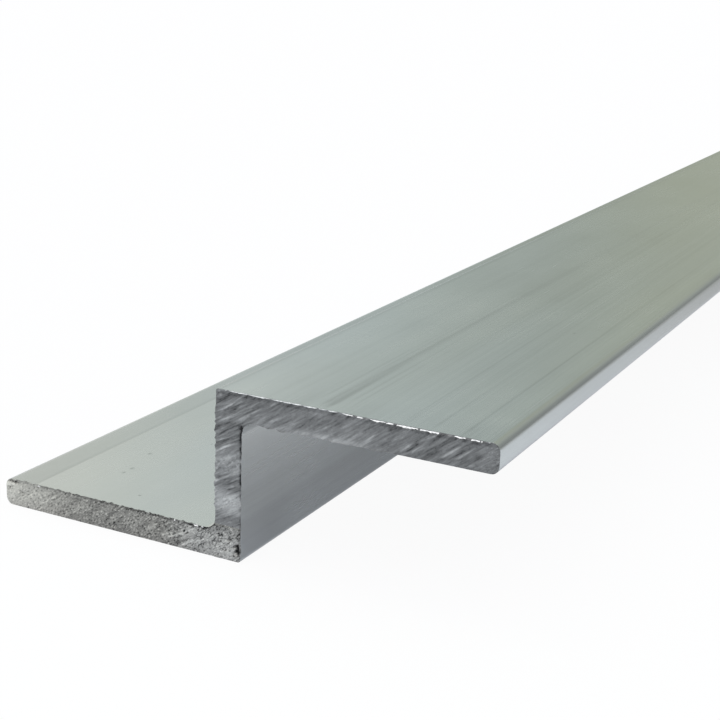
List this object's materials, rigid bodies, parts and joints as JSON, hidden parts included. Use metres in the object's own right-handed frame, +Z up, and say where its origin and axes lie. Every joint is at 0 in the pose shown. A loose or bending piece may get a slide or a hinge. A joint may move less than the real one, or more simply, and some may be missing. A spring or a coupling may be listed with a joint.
{
  "type": "aluminium z profile",
  "caption": "Mill-finish aluminium extrusion of Z section, sawn square to length: a lower flange, a web and an upper flange that runs the other way.",
  "frame": {"origin": "on the floor under the middle of the web, at half the length", "axes": "+X across the section, towards the free edge of the upper flange; +Y along the length, away from the sawn end that shows; +Z up the web"},
  "size_m": [0.057, 0.5, 0.018],
  "materials": {
    "mill_aluminium": "mill finish as extruded, with fine lengthwise die lines, and coarse sawn ends"
  },
  "bodies": {
    "root": {"z_profile": "mill_aluminium"}
  },
  "joints": []
}
